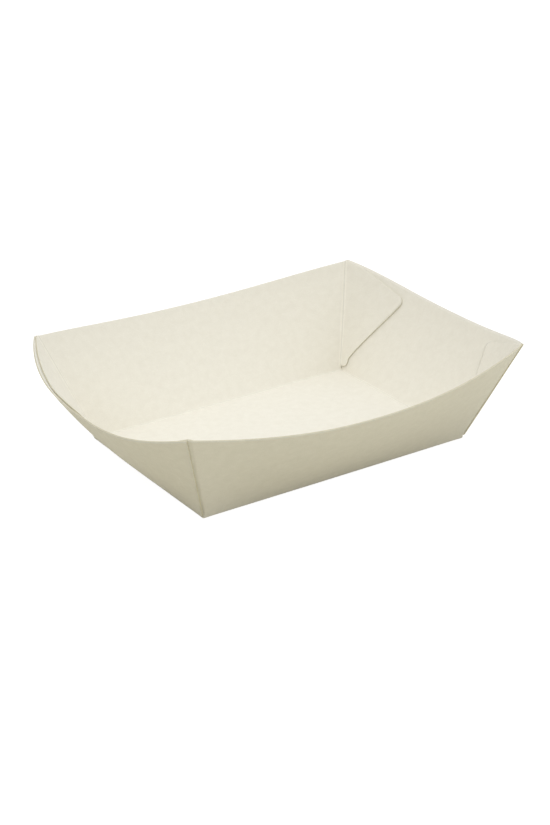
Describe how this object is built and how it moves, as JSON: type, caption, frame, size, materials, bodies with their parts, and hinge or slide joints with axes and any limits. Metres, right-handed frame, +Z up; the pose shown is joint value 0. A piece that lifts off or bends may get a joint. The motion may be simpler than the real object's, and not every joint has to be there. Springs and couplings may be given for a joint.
{
  "type": "paper food tray",
  "caption": "Folded paperboard food tray with a flat rectangular base, bowed flaring walls, a sagging rim and glue flaps inside its ends.",
  "frame": {"origin": "middle of the underside of the base, on the surface that the tray stands on", "axes": "+X along the long walls, +Y towards the back long wall, +Z up out of the open top"},
  "size_m": [0.1684, 0.1322, 0.0408],
  "materials": {
    "board": "matt uncoated ivory paperboard"
  },
  "bodies": {
    "root": {"folded_tray": "board"}
  },
  "joints": []
}
